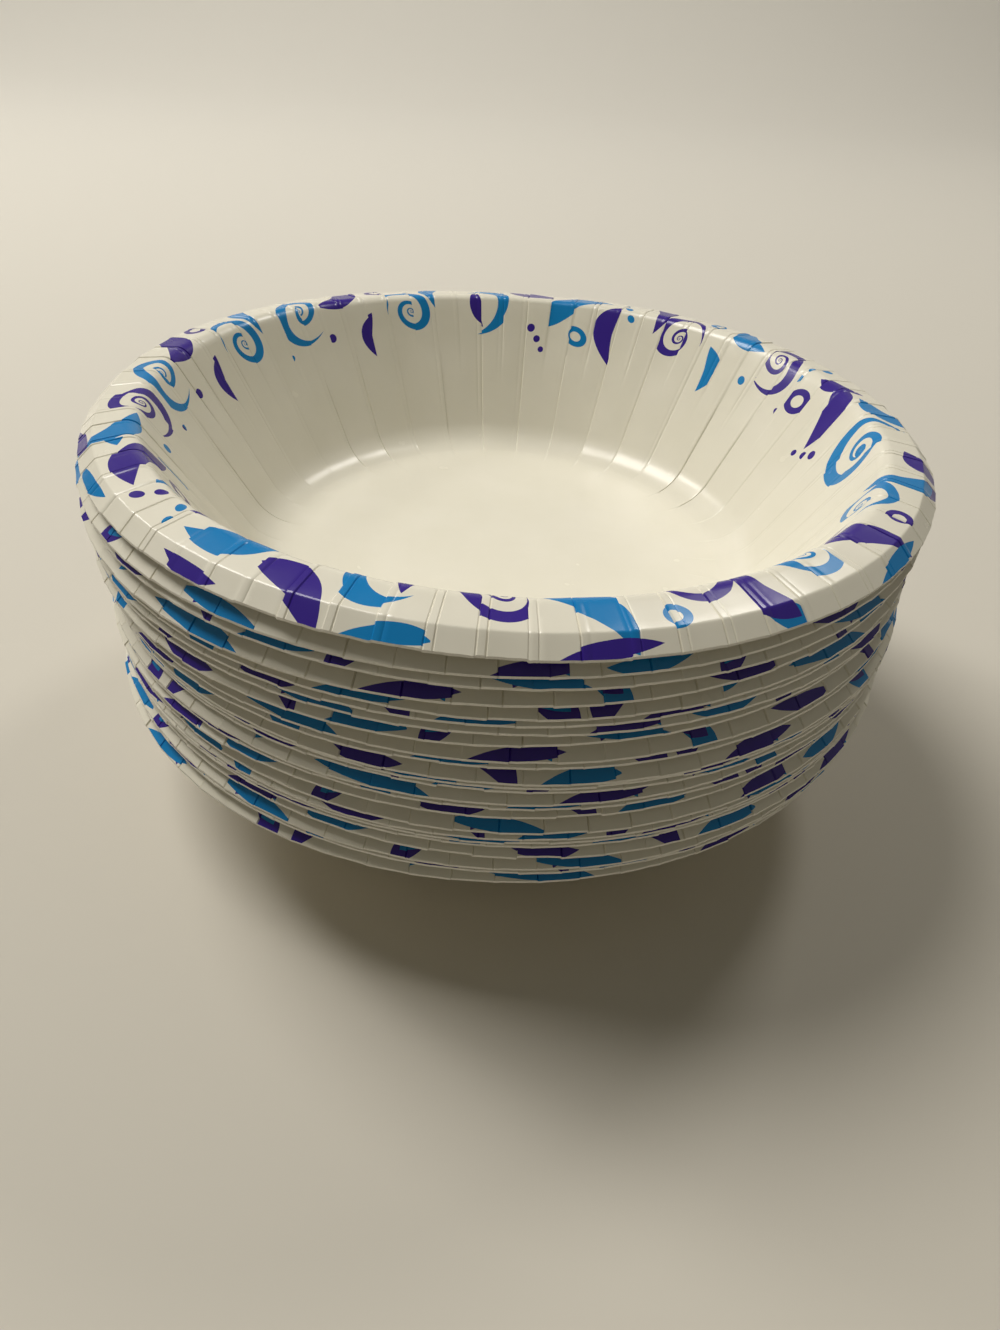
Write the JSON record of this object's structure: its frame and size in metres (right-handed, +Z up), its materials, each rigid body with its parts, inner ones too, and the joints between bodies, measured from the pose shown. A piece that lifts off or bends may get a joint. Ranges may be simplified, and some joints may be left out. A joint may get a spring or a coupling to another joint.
{
  "type": "stack of paper bowls",
  "caption": "Stack of nested round disposable paper bowls with creased rims, for serving food once and throwing away.",
  "frame": {"origin": "centre of the underside of the lowest bowl's floor, which the stack stands on", "axes": "+Z up, out of the bowls' mouths; +Y away from the camera of the picture, +X to its right"},
  "size_m": [0.1747, 0.173, 0.084],
  "materials": {
    "coated_board": "satin coated white board with violet and blue print around the rim, plain matt board underneath"
  },
  "bodies": {
    "root": {"bowl_01": "coated_board", "bowl_02": "coated_board", "bowl_03": "coated_board", "bowl_04": "coated_board", "bowl_05": "coated_board", "bowl_06": "coated_board", "bowl_07": "coated_board", "bowl_08": "coated_board", "bowl_09": "coated_board", "bowl_10": "coated_board", "bowl_11": "coated_board", "bowl_12": "coated_board", "bowl_13": "coated_board", "bowl_14": "coated_board", "bowl_15": "coated_board", "bowl_16": "coated_board", "bowl_17": "coated_board", "bowl_18": "coated_board", "bowl_19": "coated_board", "bowl_20": "coated_board", "bowl_21": "coated_board", "bowl_22": "coated_board", "bowl_23": "coated_board", "bowl_24": "coated_board"}
  },
  "joints": []
}
